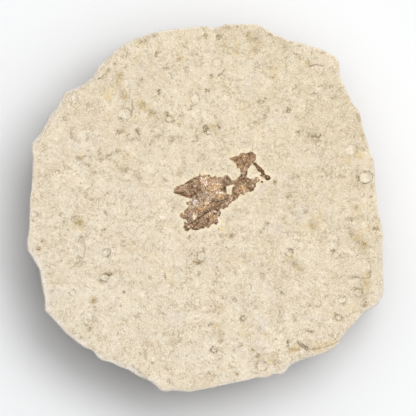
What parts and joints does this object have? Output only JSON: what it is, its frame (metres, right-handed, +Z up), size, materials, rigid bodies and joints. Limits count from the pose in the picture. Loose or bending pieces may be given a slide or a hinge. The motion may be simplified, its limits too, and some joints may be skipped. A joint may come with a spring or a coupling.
{
  "type": "fossil fly on a limestone slab",
  "caption": "Small rounded cream limestone slab with a flat bedding face that holds the crushed brown film of a fossil fly; it lies flat on its base.",
  "frame": {"origin": "under the middle of the slab's bounding box, on the surface that the slab lies on", "axes": "+Z up out of the bedding face that carries the fly, +Y along the slab's slightly longer way, towards its blunt top edge, +X to the side that the fly's leg points to"},
  "size_m": [0.0358, 0.0368, 0.0102],
  "materials": {
    "limestone": "fine-grained matt cream limestone with grey and tan mottles, dark specks and small shell rings",
    "brown_film": "crystalline brown mineral film, ochre and pale patches, dark veins, slightly glossy"
  },
  "bodies": {
    "root": {"limestone_slab": "limestone", "fly_remains": "brown_film"}
  },
  "joints": []
}
